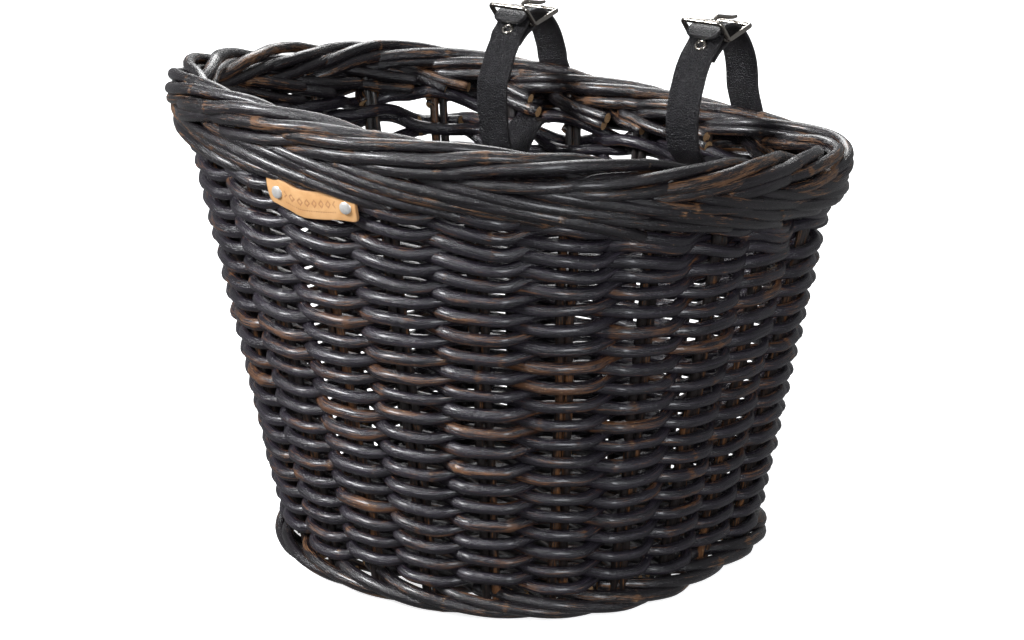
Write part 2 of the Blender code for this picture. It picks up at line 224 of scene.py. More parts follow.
class Canes:
    """Gathers round canes into one mesh, and keeps where each point lies along and round its cane."""

    SIDES = 12

    def __init__(self, name):
        self.name = name
        self.random = np.random.default_rng(list(name.encode()))
        self.points, self.faces, self.ends = [], [], []
        self.coords, self.tints, self.knots = [], [], []
        self.count = 0

    def add(self, path, radius, gap=2.6):
        random = self.random
        path, at = even_path(np.asarray(path, float), gap)
        knots = np.cumsum(random.uniform(70, 210, 40)) - random.uniform(0, 200)
        knots = knots[(knots > 6) & (knots < at[-1] - 6)]
        ring = np.zeros(len(at))
        for knot in knots:
            ring = np.maximum(ring, np.exp(-(((at - knot) / 1.9) ** 2)))
        slow = 1 + 0.035 * np.sin(at / 41 + random.uniform(0, 6))
        slow = slow + 0.02 * np.sin(at / 13 + random.uniform(0, 6))
        size = radius * slow * (1 + 0.085 * ring)
        size[0] *= 0.88
        size[-1] *= 0.88
        first, second = frames_along(path)
        turn = np.arange(self.SIDES) * 2 * math.pi / self.SIDES
        c, s = np.cos(turn), np.sin(turn)
        oval = 1 + 0.04 * np.sin(2 * turn + random.uniform(0, 6))
        rings = path[:, None] + size[:, None, None] * oval[None, :, None] * (
            c[None, :, None] * first[:, None] + s[None, :, None] * second[:, None]
        )
        n, k = len(path), self.SIDES
        base = self.count
        index = base + np.arange(n * k).reshape(n, k)
        here, onward = index[:-1], index[1:]
        quads = np.stack([here, np.roll(here, -1, 1), np.roll(onward, -1, 1), onward], axis=-1)
        self.faces += [tuple(q) for q in quads.reshape(-1, 4).tolist()]
        self.points.append(rings.reshape(-1, 3))
        shift = random.uniform(0, 4000)
        spin = random.uniform(0, 6.28)
        coords = np.empty((n, k, 3))
        coords[..., 0] = at[:, None] + shift
        coords[..., 1] = 3 * np.cos(turn + spin)[None]
        coords[..., 2] = 3 * np.sin(turn + spin)[None] + 50 * spin
        self.coords.append(coords.reshape(-1, 3))
        self.tints.append(np.full(n * k, random.uniform()))
        self.knots.append(np.repeat(ring, k))
        self.count += n * k
        self.ends += [tuple(index[0][::-1].tolist()), tuple(index[-1].tolist())]

    def build(self, surface, body, nodes):
        mesh = bpy.data.meshes.new(self.name)
        mesh.from_pydata((np.vstack(self.points) * MM).tolist(), [], self.faces + self.ends)
        for name, kind, values in (
            ("cane", "FLOAT_VECTOR", np.vstack(self.coords)),
            ("tint", "FLOAT", np.concatenate(self.tints)),
            ("knot", "FLOAT", np.concatenate(self.knots)),
        ):
            layer = mesh.attributes.new(name, kind, "POINT")
            channel = "vector" if kind == "FLOAT_VECTOR" else "value"
            layer.data.foreach_set(channel, values.astype(np.float32).ravel())
        mesh.materials.append(surface)
        mesh.materials.append(materials["cut_end"])
        which = np.zeros(len(mesh.polygons), np.int32)
        which[len(self.faces) :] = 1
        mesh.polygons.foreach_set("material_index", which)
        smooth = np.ones(len(mesh.polygons), bool)
        smooth[len(self.faces) :] = False
        mesh.polygons.foreach_set("use_smooth", smooth)
        obj = bpy.data.objects.new(self.name, mesh)
        return place_piece(obj, body, nodes)


def place_piece(obj, body, nodes):
    bpy.context.scene.collection.objects.link(obj)
    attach(obj, body)
    if nodes:
        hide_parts(*nodes)
    return obj


# ---------------------------------------------------------------- materials


class Surface:
    """A material's node tree, with short ways to add what most of them use."""

    def __init__(self, name):
        self.made = bpy.data.materials.new(name)
        self.made.use_nodes = True
        self.tree = self.made.node_tree
        self.shader = self.tree.nodes["Principled BSDF"]

    def node(self, kind, inputs=None, **settings):
        made = self.tree.nodes.new("ShaderNode" + kind)
        for key, value in settings.items():
            setattr(made, key, value)
        for key, value in (inputs or {}).items():
            self.put(made.inputs[key], value)
        return made

    def put(self, socket, value):
        if isinstance(value, bpy.types.NodeSocket):
            self.tree.links.new(value, socket)
        else:
            socket.default_value = value

    def attribute(self, name, output="Fac"):
        return self.node("Attribute", attribute_name=name).outputs[output]

    def scaled(self, vector, scale):
        return self.node("Mapping", {"Vector": vector, "Scale": scale}).outputs["Vector"]

    def noise(self, vector, scale, detail=4.0, rough=0.5, warp=0.0):
        inputs = {"Vector": vector, "Scale": scale, "Detail": detail, "Roughness": rough, "Distortion": warp}
        return self.node("TexNoise", inputs).outputs["Fac"]

    def ramp(self, value, low, high):
        inputs = {"Value": value, "From Min": low, "From Max": high}
        return self.node("MapRange", inputs, interpolation_type="SMOOTHSTEP").outputs["Result"]

    def math(self, operation, a, b=0.0):
        made = self.node("Math", operation=operation)
        self.put(made.inputs[0], a)
        self.put(made.inputs[1], b)
        return made.outputs[0]

    def mix(self, share, a, b):
        made = self.node("Mix", data_type="RGBA")
        self.put(made.inputs["Factor"], share)
        self.put(made.inputs[6], a)
        self.put(made.inputs[7], b)
        return made.outputs[2]

    def bump(self, height, distance, strength):
        inputs = {"Height": height, "Distance": distance, "Strength": strength}
        return self.node("Bump", inputs).outputs["Normal"]

    def finish(self, **sockets):
        for key, value in sockets.items():
            self.put(self.shader.inputs[key.replace("_", " ")], value)
        return self.made


def rgb(red, green, blue):
    return (red, green, blue, 1.0)


def cane_surface(name, worn, dark, brown, gloss):
    """Dark stained rattan: worn is how much of it shows brown, gloss how smooth the stain is."""
    s = Surface(name)
    coords = s.attribute("cane", "Vector")
    tint, knot = s.attribute("tint"), s.attribute("knot")
    patches = s.noise(s.scaled(coords, (0.022, 0.20, 0.20)), 1.0, 5.0, 0.6, 0.5)
    streaks = s.noise(s.scaled(coords, (0.030, 0.80, 0.80)), 1.0, 6.0, 0.68)
    fine = s.noise(s.scaled(coords, (0.13, 2.3, 2.3)), 1.0, 5.0, 0.7)
    specks = s.noise(s.scaled(coords, (0.40, 0.95, 0.95)), 1.0, 4.0, 0.62, 0.4)
    level = s.math("ADD", s.math("MULTIPLY", s.math("POWER", tint, 4.0), 0.15), worn)
    level = s.math("ADD", level, s.math("MULTIPLY", s.math("SUBTRACT", streaks, 0.5), 0.75))
    level = s.math("ADD", level, s.math("MULTIPLY", knot, 0.16))
    level = s.math("ADD", level, s.math("MULTIPLY", s.math("SUBTRACT", fine, 0.5), 0.55))
    wear = s.ramp(s.math("ADD", patches, level), 0.66, 0.82)
    black = s.mix(s.ramp(streaks, 0.38, 0.66), rgb(*dark), rgb(dark[0] * 3.2, dark[1] * 3.0, dark[2] * 3.1))
    tan = s.mix(s.ramp(fine, 0.46, 0.64), rgb(*brown), rgb(brown[0] * 2.4, brown[1] * 2.6, brown[2] * 2.8))
    colour = s.mix(wear, black, tan)
    near_wear = s.math("ADD", s.math("MULTIPLY", wear, 0.8), s.math("MULTIPLY", knot, 0.7))
    bare = s.math("MULTIPLY", s.ramp(specks, 0.60, 0.68), s.ramp(near_wear, 0.30, 0.9))
    stray = s.math("MULTIPLY", s.ramp(specks, 0.70, 0.74), 0.6)
    bare = s.math("MAXIMUM", bare, stray)
    colour = s.mix(s.math("MULTIPLY", bare, 0.75), colour, rgb(0.42, 0.27, 0.145))
    rough = s.math("ADD", s.math("MULTIPLY", fine, 0.26), gloss)
    rough = s.math("ADD", rough, s.math("MULTIPLY", wear, 0.12))
    height = s.math("ADD", s.math("MULTIPLY", streaks, 0.75), s.math("MULTIPLY", fine, 0.35))
    height = s.math("SUBTRACT", height, s.math("MULTIPLY", bare, 0.30))
    normal = s.bump(height, 0.0011, 0.8)
    return s.finish(Base_Color=colour, Roughness=rough, Normal=normal, Coat_Weight=0.28, Coat_Roughness=0.16)


def cut_end_surface():
    s = Surface("rattan_cut_end")
    where = s.node("NewGeometry").outputs["Position"]
    pores = s.noise(where, 1900.0, 3.0, 0.6)
    broad = s.noise(where, 260.0, 2.0, 0.5)
    colour = s.mix(s.ramp(pores, 0.42, 0.62), rgb(0.22, 0.11, 0.045), rgb(0.62, 0.41, 0.21))
    colour = s.mix(s.math("MULTIPLY", s.ramp(broad, 0.5, 0.7), 0.6), colour, rgb(0.30, 0.17, 0.08))
    return s.finish(Base_Color=colour, Roughness=0.75, Normal=s.bump(pores, 0.0004, 0.6))


def strap_surface():
    """Black grained leather with creases along it and a rubbed edge."""
    s = Surface("strap_black_leather")
    where = s.attribute("flat", "Vector")
    edge = s.attribute("edge")
    inputs = {"Vector": where, "Scale": 0.60, "Randomness": 0.95}
    cells = s.node("TexVoronoi", inputs, feature="DISTANCE_TO_EDGE")
    grain = s.ramp(cells.outputs["Distance"], 0.0, 0.30)
    creases = s.noise(s.scaled(where, (0.10, 0.85, 0.5)), 1.0, 5.0, 0.65)
    fine = s.noise(where, 1.1, 5.0, 0.65)
    broad = s.noise(s.scaled(where, (0.05, 0.12, 0.1)), 1.0, 4.0, 0.55)
    colour = s.mix(s.ramp(fine, 0.3, 0.75), rgb(0.003, 0.0027, 0.0035), rgb(0.013, 0.0118, 0.014))
    colour = s.mix(s.math("MULTIPLY", s.ramp(broad, 0.5, 0.75), 0.5), colour, rgb(0.026, 0.024, 0.028))
    colour = s.mix(s.math("MULTIPLY", edge, 0.6), colour, rgb(0.030, 0.027, 0.028))
    rough = s.math("ADD", s.math("MULTIPLY", fine, 0.26), 0.20)
    height = s.math("ADD", s.math("MULTIPLY", grain, 0.35), s.math("MULTIPLY", fine, 0.45))
    height = s.math("ADD", height, s.math("MULTIPLY", creases, 0.55))
    normal = s.bump(height, 0.0016, 0.9)
    return s.finish(Base_Color=colour, Roughness=rough, Normal=normal, Specular_IOR_Level=0.36)


def label_surface():
    """Natural tan leather with a row of pressed lozenges over a dotted line."""
    s = Surface("label_tan_leather")
    where = s.attribute("flat", "Vector")
    edge = s.attribute("edge")
    split = s.node("SeparateXYZ", {"Vector": where})
    u, v = split.outputs["X"], split.outputs["Y"]
    along = s.math("ADD", u, 100.0)
    across = s.math("SUBTRACT", s.math("MODULO", along, LOZENGE_PITCH), LOZENGE_PITCH / 2)
    across = s.math("ABSOLUTE", across)
    up = s.math("ABSOLUTE", s.math("SUBTRACT", v, 1.0))
    lozenge = s.math("ADD", s.math("DIVIDE", across, 2.1), s.math("DIVIDE", up, 2.6))
    inner = s.ramp(lozenge, 0.55, 0.45)
    outer = s.math("SUBTRACT", s.ramp(lozenge, 1.02, 0.92), inner)
    dot_x = s.math("SUBTRACT", s.math("MODULO", along, DOT_PITCH), DOT_PITCH / 2)
    dot_y = s.math("ADD", v, 3.6)
    dot = s.math("SQRT", s.math("ADD", s.math("MULTIPLY", dot_x, dot_x), s.math("MULTIPLY", dot_y, dot_y)))
    pressed = s.math("MAXIMUM", outer, s.ramp(dot, 0.48, 0.34))
    inside = s.ramp(s.math("ABSOLUTE", u), 17.6, 17.4)
    pressed = s.math("MULTIPLY", pressed, inside)
    fine = s.noise(where, 1.6, 6.0, 0.65)
    broad = s.noise(where, 0.09, 4.0, 0.6)
    colour = s.mix(s.ramp(broad, 0.35, 0.7), rgb(0.58, 0.31, 0.125), rgb(0.69, 0.40, 0.18))
    colour = s.mix(s.math("MULTIPLY", s.ramp(fine, 0.5, 0.8), 0.35), colour, rgb(0.50, 0.26, 0.11))
    colour = s.mix(s.math("MULTIPLY", pressed, 0.62), colour, rgb(0.36, 0.16, 0.07))
    colour = s.mix(s.math("MULTIPLY", edge, 0.75), colour, rgb(0.26, 0.12, 0.045))
    height = s.math("SUBTRACT", s.math("MULTIPLY", fine, 0.3), pressed)
    rough = s.math("ADD", s.math("MULTIPLY", fine, 0.2), 0.5)
    return s.finish(Base_Color=colour, Roughness=rough, Normal=s.bump(height, 0.0004, 0.6))


def nickel_surface(name, shade, rough, metallic):
    s = Surface(name)
    where = s.node("NewGeometry").outputs["Position"]
    scratches = s.noise(s.scaled(where, (500.0, 4200.0, 2500.0)), 1.0, 4.0, 0.6)
    smudges = s.noise(where, 330.0, 4.0, 0.6)
    dull = rgb(shade[0] * 0.8, shade[1] * 0.77, shade[2] * 0.73)
    colour = s.mix(s.ramp(smudges, 0.35, 0.75), rgb(*shade), dull)
    level = s.math("ADD", s.math("MULTIPLY", smudges, 0.14), rough)
    normal = s.bump(scratches, 0.00006, 0.35)
    return s.finish(Base_Color=colour, Metallic=metallic, Roughness=level, Normal=normal)


# Painted shade: the inside of the strap eyelet's hole, its inner wall and the disc that closes it, is
# coloured near-black to stand in for the shade in the hole.
def hole_painted_shade_surface():
    s = Surface("rivet_hole_painted_shade")
    fine = s.noise(s.node("NewGeometry").outputs["Position"], 900.0, 3.0, 0.6)
    colour = s.mix(fine, rgb(0.004, 0.004, 0.005), rgb(0.02, 0.018, 0.016))
    return s.finish(Base_Color=colour, Roughness=0.7, Normal=s.bump(fine, 0.0003, 0.5))


def floor_surface():
    s = Surface("floor_pale")
    fine = s.noise(s.node("NewGeometry").outputs["Position"], 40.0, 3.0, 0.5)
    colour = s.mix(fine, rgb(0.86, 0.86, 0.87), rgb(0.90, 0.90, 0.905))
    glow = rgb(1.0, 1.0, 1.0)
    return s.finish(Base_Color=colour, Roughness=1.0, Emission_Color=glow, Emission_Strength=FLOOR_GLOW)


def backdrop_surface():
    s = Surface("backdrop_white")
    soft = s.noise(s.node("NewGeometry").outputs["Position"], 0.5, 2.0, 0.5)
    colour = s.mix(soft, rgb(0.995, 0.995, 0.995), rgb(1.0, 1.0, 1.0))
    return s.finish(Base_Color=rgb(0, 0, 0), Emission_Color=colour, Emission_Strength=1.1)


materials = {
    "cane": cane_surface("rattan_black_stain", 0.045, (0.0074, 0.0064, 0.0090), (0.066, 0.026, 0.0095), 0.15),
    "border": cane_surface("rattan_border", 0.062, (0.0048, 0.0041, 0.0050), (0.088, 0.038, 0.014), 0.12),
    "stake": cane_surface("rattan_stake", 0.06, (0.0070, 0.0056, 0.0052), (0.095, 0.038, 0.013), 0.26),
    "inner": cane_surface("rattan_inside", 0.055, (0.0060, 0.0050, 0.0052), (0.078, 0.034, 0.015), 0.28),
    "cut_end": cut_end_surface(),
    "strap": strap_surface(),
    "label": label_surface(),
    "nickel": nickel_surface("nickel_bright", (0.46, 0.43, 0.39), 0.16, 1.0),
    "rivet": nickel_surface("nickel_rivet", (0.74, 0.73, 0.71), 0.24, 0.55),
    "hole": hole_painted_shade_surface(),
}


# ---------------------------------------------------------------- the wicker


def course_of(height):
    share = (height - FOOT_TOP) / (WEAVE_TOP - FOOT_TOP)
    return f"weave_course_{min(COURSES, max(1, int(share * COURSES) + 1)):02d}"


SETTLE = 0.40
SHARED = np.random.default_rng(5)
LEAN = [(SHARED.uniform(0, 6.28), SHARED.uniform(0, 6.28), SHARED.uniform(0.6, 1.0)) for _ in range(10)]


def settle(place, height):
    """The uneven packing of the rows, which neighbouring rows share."""
    total = 0.0
    for m, (a, b, reach) in enumerate(LEAN):
        total = total + reach * np.sin(2 * math.pi * (m + 2) * place / STAKES + a) * np.sin(height / 34 + b)
    return SETTLE * total


def swing(place, phase, square=1.0):
    """Side of the stakes that a cane is on: 1 outside, -1 inside, turning the quicker the squarer it is."""
    reach = 0.5 * math.pi * square
    return np.sin(reach * np.cos(math.pi * (place + phase))) / math.sin(reach)


def woven_cane(canes, start, end, phase, height, radius, sag=0.9, slant=0.5, square=1.0):
    """One cane from place start to place end, whose ends rest on the inside of a stake."""
    random = canes.random
    place = np.linspace(start, end, int((end - start) * 18) + 2)
    side = swing(place, phase, square)
    inward = np.clip(1 - (place - start) / 0.55, 0, 1) ** 2 + np.clip(1 - (end - place) / 0.55, 0, 1) ** 2
    out = WAVE * side - 4.5 * inward + waves(random, place, 0.35, 14, 4)
    level = height(place) if callable(height) else height + settle(place, height)
    level = level - sag * side * np.sin(0.5 * math.pi * np.abs(side)) + waves(random, place, 0.42, 16, 3)
    level = level - slant * np.sin(math.pi * (place + phase)) * np.clip(side + 0.4, 0, 1)
    canes.add(wall(place, level, out), radius)


def build_rows():
    pitch = (WEAVE_TOP - FOOT_TOP) / ROWS
    for i in range(ROWS):
        canes = Canes(f"weave_row_{i + 1:02d}")
        random = canes.random
        height = FOOT_TOP + (i + 0.5) * pitch
        phase = i + 1
        first = 2 * int(random.integers(0, 11)) + (phase + 1) % 2
        middle = first + 2 * int(random.integers(4, 7))
        for start, end in ((first, middle), (middle, first + STAKES)):
            radius = CANE_R * random.uniform(0.93, 1.08)
            woven_cane(canes, start - 0.3, end + 0.3, phase, height, radius)
        canes.build(materials["cane"], "basket", [course_of(height)])


# The fan zone's height below which a row isn't there, 0 for one that goes all the way round.
FAN_DROPS = (22.0, 0.0, 33.0, 28.0, 0.0, 0.0, 38.0, 17.0, 0.0, 44.0)
FAN_BACK_LOSS, FAN_CROSS, FAN_FADE = 8.0, 3.5, 4


def fan_weights(place):
    tall = border_underside(place) - WEAVE_TOP
    room = tall - FAN_BACK_LOSS * backness(place)
    fading = [np.clip((room - drop) / FAN_FADE + 0.5, 0.0, 1.0) for drop in FAN_DROPS]
    weights = [share if drop else np.ones_like(tall) for share, drop in zip(fading, FAN_DROPS)]
    return np.array(weights), tall


def fan_height(row):
    """Height of a fan row. Along the back the rows that are left cross each other between the stakes."""
    def height(place):
        weights, tall = fan_weights(place)
        before = weights[:row].sum(0) + weights[row] / 2
        cross = FAN_CROSS * backness(place) * np.cos(math.pi * (place + row))
        return WEAVE_TOP + tall * before / weights.sum(0) - cross * (1 if row < 5 else -1)
    return height


def build_fan_rows():
    """Above the level rows, rows fan out to follow the sloping rim, and some only cover the front."""
    dense = np.linspace(0, 2 * STAKES, 881)
    weights, _ = fan_weights(dense)
    for row, drop in enumerate(FAN_DROPS):
        canes = Canes(f"fan_row_{row + 1:02d}")
        phase = ROWS + row + 1
        node = "packing_course_lower" if row < 5 else "packing_course_upper"
        if drop:
            there = dense[(weights[row] > 0.35) & (dense > 4) & (dense < 20)]
            ways = [(there.min(), there.max())]
        else:
            first = 1 + (phase + 1) % 2
            ways = [(first - 0.3, first + 8.3), (first + 7.7, first + STAKES + 0.3)]
        for start, end in ways:
            radius = FAN_R * canes.random.uniform(0.9, 1.05)
            woven_cane(canes, start, end, phase, fan_height(row), radius, sag=1.3, slant=2.0, square=0.8)
        canes.build(materials["cane"], "basket", [node, "open_course"][: 1 if drop else 2])


def build_stakes():
    """Pairs of upright canes from the foot up into the border."""
    for k in range(STAKES):
        canes = Canes(f"stake_{k + 1:02d}")
        random = canes.random
        top = float(border_underside(float(k))) + STAKE_INTO_BORDER
        height = np.linspace(5, top, 90)
        for side in (-1, 1):
            lean = waves(random, height / 14, 0.5, 5)
            centre = wall(np.full_like(height, k), height, waves(random, height / 14, 0.3, 5))
            normal = wall(float(k), 100.0, 1.0) - wall(float(k), 100.0)
            along = np.array([-normal[1], normal[0], 0.0])
            path = centre + along * (side * STAKE_R * 1.02 + lean)[:, None]
            canes.add(path, STAKE_R * random.uniform(0.94, 1.04))
        canes.build(materials["stake"], "basket", [f"stake_pair_{k + 1:02d}"])


# The way each pair of border canes goes, clockwise from its stake: places passed, distance outwards from the
# wall's middle, distance below the rim's top, and the angle at which the two canes lie side by side.
BORDER_WAY = (
    (-0.12, 0.0, 46.0, -90), (0.02, 4.4, 39.5, -90), (0.35, 9.2, 35.0, -90), (0.80, 11.2, 32.0, -90),
    (1.40, 11.8, 29.0, -90), (2.00, 11.4, 26.0, -90), (2.50, 8.8, 23.0, -90), (2.85, 2.6, 19.0, -90),
    (3.10, -4.4, 15.6, -90), (3.45, -7.4, 11.4, -90), (3.85, -5.4, 8.2, -84), (4.30, 0.6, 7.0, -70),
    (4.80, 7.2, 7.8, -78), (5.25, 11.0, 11.0, -90), (5.75, 11.8, 14.6, -96), (6.25, 8.6, 18.4, -90),
    (6.60, 1.6, 22.0, -90), (6.90, -5.4, 25.0, -90), (7.25, -8.6, 28.0, -90), (7.75, -9.2, 30.5, -90),
)
BORDER_UNEVEN, BORDER_TOP = 1.2, 2.6


def border_cane(k, which, random):
    table = np.array(BORDER_WAY)
    table[:, 1:3] += random.uniform(-0.5, 0.5, (len(table), 2))
    table[1:, 0] += random.uniform(-0.12, 0.12)
    way = smooth_path(table, 10)
    way = way[: len(way) - int(random.integers(0, 14))]
    turn = np.radians(way[:, 3])
    apart = which * BORDER_R * random.uniform(0.78, 1.0)
    drift = np.sin(way[:, 0] * random.uniform(1.2, 2.2) + random.uniform(0, 6.28))
    out = way[:, 1] + apart * np.cos(turn) + 0.5 * drift
    down = way[:, 2] + apart * np.sin(turn) + BORDER_UNEVEN * drift * np.clip(way[:, 2] / 12, 0.3, 1)
    place = k - way[:, 0]
    height = rim_height(place) - np.maximum(down, BORDER_TOP) * border_depth(place)
    return wall(place, height, out)


def build_border():
    for k in range(STAKES):
        canes = Canes(f"border_canes_{k + 1:02d}")
        for which in (-1, 1):
            path = border_cane(k, which, canes.random)
            canes.add(path, BORDER_R * canes.random.uniform(0.86, 1.06), gap=2.2)
        canes.build(materials["border"], "basket", ["rim_border"])


# The way of each foot cane: places passed, distance outwards from the wall's middle, and height.
FOOT_WAY = (
    (-0.3, -5.0, 15.5), (0.1, -1.0, 15.0), (0.45, 6.0, 13.6), (0.9, 9.6, 11.6), (1.4, 10.4, 8.8),
    (1.9, 9.2, 6.0), (2.3, 5.0, 4.4), (2.7, -0.6, 4.0), (3.05, -5.2, 4.8), (3.3, -6.0, 6.0),
)


def build_foot():
    """The foot's canes, twisted the same way as the border."""
    for group in range(2):
        canes = Canes(f"foot_canes_{group + 1}")
        for k in range(group, STAKES, 2):
            table = np.array(FOOT_WAY)
            table[1:-1, 1:3] += canes.random.uniform(-0.3, 0.3, (len(table) - 2, 2))
            way = smooth_path(table, 8)
            height = np.maximum(way[:, 2], FOOT_R * 1.06)
            canes.add(wall(k + way[:, 0], height, way[:, 1] + FOOT_OUT), FOOT_R)
        canes.build(materials["border"], "basket", ["foot_border"])


def floor_half(y):
    """Half the floor's width at a distance along Y."""
    ring = plan_at(np.linspace(-math.pi, math.pi, 800), FLOOR_LEVEL, -6.0)
    near = ring[np.abs(ring[:, 1] - y) < 3.0]
    return float(np.abs(near[:, 0]).max()) if len(near) else 0.0


def build_floor():
    sticks = []
    for k in range(4):
        low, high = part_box(f"base_stick_{k + 1}")
        sticks.append((low.x + high.x) / 2 / MM)
        canes = Canes(f"floor_stick_{k + 1}")
        y = np.linspace(low.y / MM, high.y / MM, 30)
        for side in (-1, 1):
            x = np.full_like(y, sticks[-1] + side * STICK_R)
            canes.add(np.column_stack([x, y, np.full_like(y, FLOOR_LEVEL)]), STICK_R)
        canes.build(materials["stake"], "basket", [f"base_stick_{k + 1}"])
    low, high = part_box("base_weave")
    rows = int((high.y - low.y) / MM / (2 * FLOOR_CANE_R))
    lines = np.linspace(low.y / MM + 4, high.y / MM - 4, rows)
    for group in range(4):
        canes = Canes(f"floor_weave_{group + 1}")
        for i in range(group, rows, 4):
            half = floor_half(lines[i]) - 1
            if half < 25:
                continue
            x = np.linspace(-half, half, 70)
            turn = np.interp(x, sticks, np.arange(4.0))
            turn = np.where(x < sticks[0], (x - sticks[0]) / STICK_GAP, turn)
            turn = np.where(x > sticks[-1], 3 + (x - sticks[-1]) / STICK_GAP, turn)
            z = FLOOR_LEVEL + FLOOR_WAVE * swing(turn, i) * np.clip((half - np.abs(x)) / 14, 0.2, 1)
            y = lines[i] + waves(canes.random, x / 15, 0.3, 4)
            canes.add(np.column_stack([x, y, z]), FLOOR_CANE_R)
        canes.build(materials["inner"], "basket", ["base_weave"])


# ---------------------------------------------------------------- straps, buckles and label


def mesh_piece(name, points, faces, surfaces):
    mesh = bpy.data.meshes.new(name)
    mesh.from_pydata((np.asarray(points, float) * MM).tolist(), [], faces)
    for surface in surfaces:
        mesh.materials.append(surface)
    mesh.polygons.foreach_set("use_smooth", [True] * len(mesh.polygons))
    return bpy.data.objects.new(name, mesh)


def ring_faces(count, sides):
    """Faces that join rings of points into a tube, and one at each end."""
    index = np.arange(count * sides).reshape(count, sides)
    here, onward = index[:-1], index[1:]
    quads = np.stack([here, np.roll(here, -1, 1), np.roll(onward, -1, 1), onward], axis=-1)
    faces = [tuple(q) for q in quads.reshape(-1, 4).tolist()]
    return faces + [tuple(index[0][::-1].tolist()), tuple(index[-1].tolist())]


def rounded_band(wide, thick, corner):
    """Cross-section of a leather band as (across, up) points, with its edge amount."""
    points = []
    for sx, sz in ((1, 1), (-1, 1), (-1, -1), (1, -1)):
        start = {(1, 1): 0, (-1, 1): 90, (-1, -1): 180, (1, -1): 270}[(sx, sz)]
        x, z = sx * (wide / 2 - corner), sz * (thick / 2 - corner)
        for t in np.radians(np.linspace(start, start + 90, 5)):
            points.append((x + corner * math.cos(t), z + corner * math.sin(t)))
        if sz == 1 and sx == 1:
            spans = np.linspace(wide / 2 - corner, -(wide / 2 - corner), 12)[1:-1]
            points += [(x, thick / 2) for x in spans]
        if sz == -1 and sx == -1:
            spans = np.linspace(-(wide / 2 - corner), wide / 2 - corner, 12)[1:-1]
            points += [(x, -thick / 2) for x in spans]
    points = np.array(points)
    edge = np.clip((np.abs(points[:, 0]) - (wide / 2 - corner)) / corner, 0, 1)
    return points, edge


def add_layers(mesh, flat, edge):
    layer = mesh.attributes.new("flat", "FLOAT_VECTOR", "POINT")
    layer.data.foreach_set("vector", flat.astype(np.float32).ravel())
    layer = mesh.attributes.new("edge", "FLOAT", "POINT")
    layer.data.foreach_set("value", edge.astype(np.float32).ravel())


def strap_path(strap):
    """Middle line of the leather: fold, front run, lower run under the rim, rear run, buckled end."""
    top, low = strap["top"], strap["low"]
    back, sunk = strap["back"], strap["low"] - strap["sag"]
    reach = BAR_R + 0.7 + STRAP_THICK / 2
    turn = [(reach * math.cos(t), reach * math.sin(t)) for t in np.radians([-60, -28, 5, 38, 72, 106, 134])]
    fold = [(-12.0, -11.0), (-7.2, -7.2), (-2.8, -4.6)] + turn
    fold = [(103.0 + y, 299.0 + z + top) for y, z in fold]
    front = [(96.4, 297.0 + top), (91.8, 293.2 + top)]
    front += [(y + back, z + top) for y, z in [(87.2, 288.8), (82.6, 282.4), (79.4, 275.6)]]
    lower = [(76.2 + back, 268.0 + top * 0.8), (73.9 + back, 258.0), (73.9 + back, 245.3)]
    lower += [(77.6 + back, 235.0 + sunk), (86.0, 226.2 + sunk), (95.0, 222.0 + sunk)]
    lower += [(105.0, 221.4 + (low + sunk) / 2)]
    lower += [(116.0, 220.8 + low), (131.0, 220.6 + low)]
    rear = [(143.5, 222.8 + low), (150.3, 230.0 + low), (150.8, 240.5 + low), (146.2, 252.0 + low / 2)]
    rear += [(142.2, 262.0), (141.0, 271.0 + top / 2), (138.8, 280.0 + top), (134.6, 288.6 + top)]
    end = [(128.0, 297.3), (120.5, 303.4), (112.5, 306.5), (104.0, 306.6), (97.5, 305.2), (91.5, 301.2)]
    end = [(y, z + top) for y, z in end]
    return smooth_path(fold + front + lower + rear + end, 5) + (PLAN_Y, 0.0)


def bar_centre(strap):
    return BAR_Y, BAR_Z + strap["top"]


def build_strap(side, strap):
    path = strap_path(strap)
    flat_path = np.column_stack([np.zeros(len(path)), path])
    flat_path, at = even_path(flat_path, 1.6)
    along = np.gradient(flat_path, axis=0)
    along /= np.linalg.norm(along, axis=1)[:, None]
    up = np.column_stack([np.zeros(len(along)), -along[:, 2], along[:, 1]])
    section, edge = rounded_band(STRAP_WIDE, STRAP_THICK, STRAP_CORNER)
    rings, flats, edges = [], [], []
    for i, here in enumerate(flat_path):
        left = at[-1] - at[i]
        narrow = 1.0
        if left <= STRAP_TIP:
            narrow = 1 - 0.30 * (1 - math.sqrt(max(0.0, 1 - ((STRAP_TIP - left) / STRAP_TIP) ** 2)))
        sway = 0.35 * math.sin(at[i] / 37)
        x = strap["x"] + section[:, 0] * narrow + sway
        ripple = 0.10 * math.sin(at[i] / 7.3) * np.cos(section[:, 0] / 5)
        lift = section[:, 1] + ripple
        rings.append(np.column_stack([x, here[1] + up[i, 1] * lift, here[2] + up[i, 2] * lift]))
        flats.append(np.column_stack([np.full(len(section), at[i]), section[:, 0], section[:, 1] * 2]))
        edges.append(edge)
    points = np.vstack(rings)
    name = "leather_strap_" + side
    obj = mesh_piece(name, points, ring_faces(len(rings), len(section)), [materials["strap"]])
    add_layers(obj.data, np.vstack(flats), np.concatenate(edges))
    obj.data.set_sharp_from_angle(angle=math.radians(50))
    place_piece(obj, "strap_" + side, ["strap_" + side])


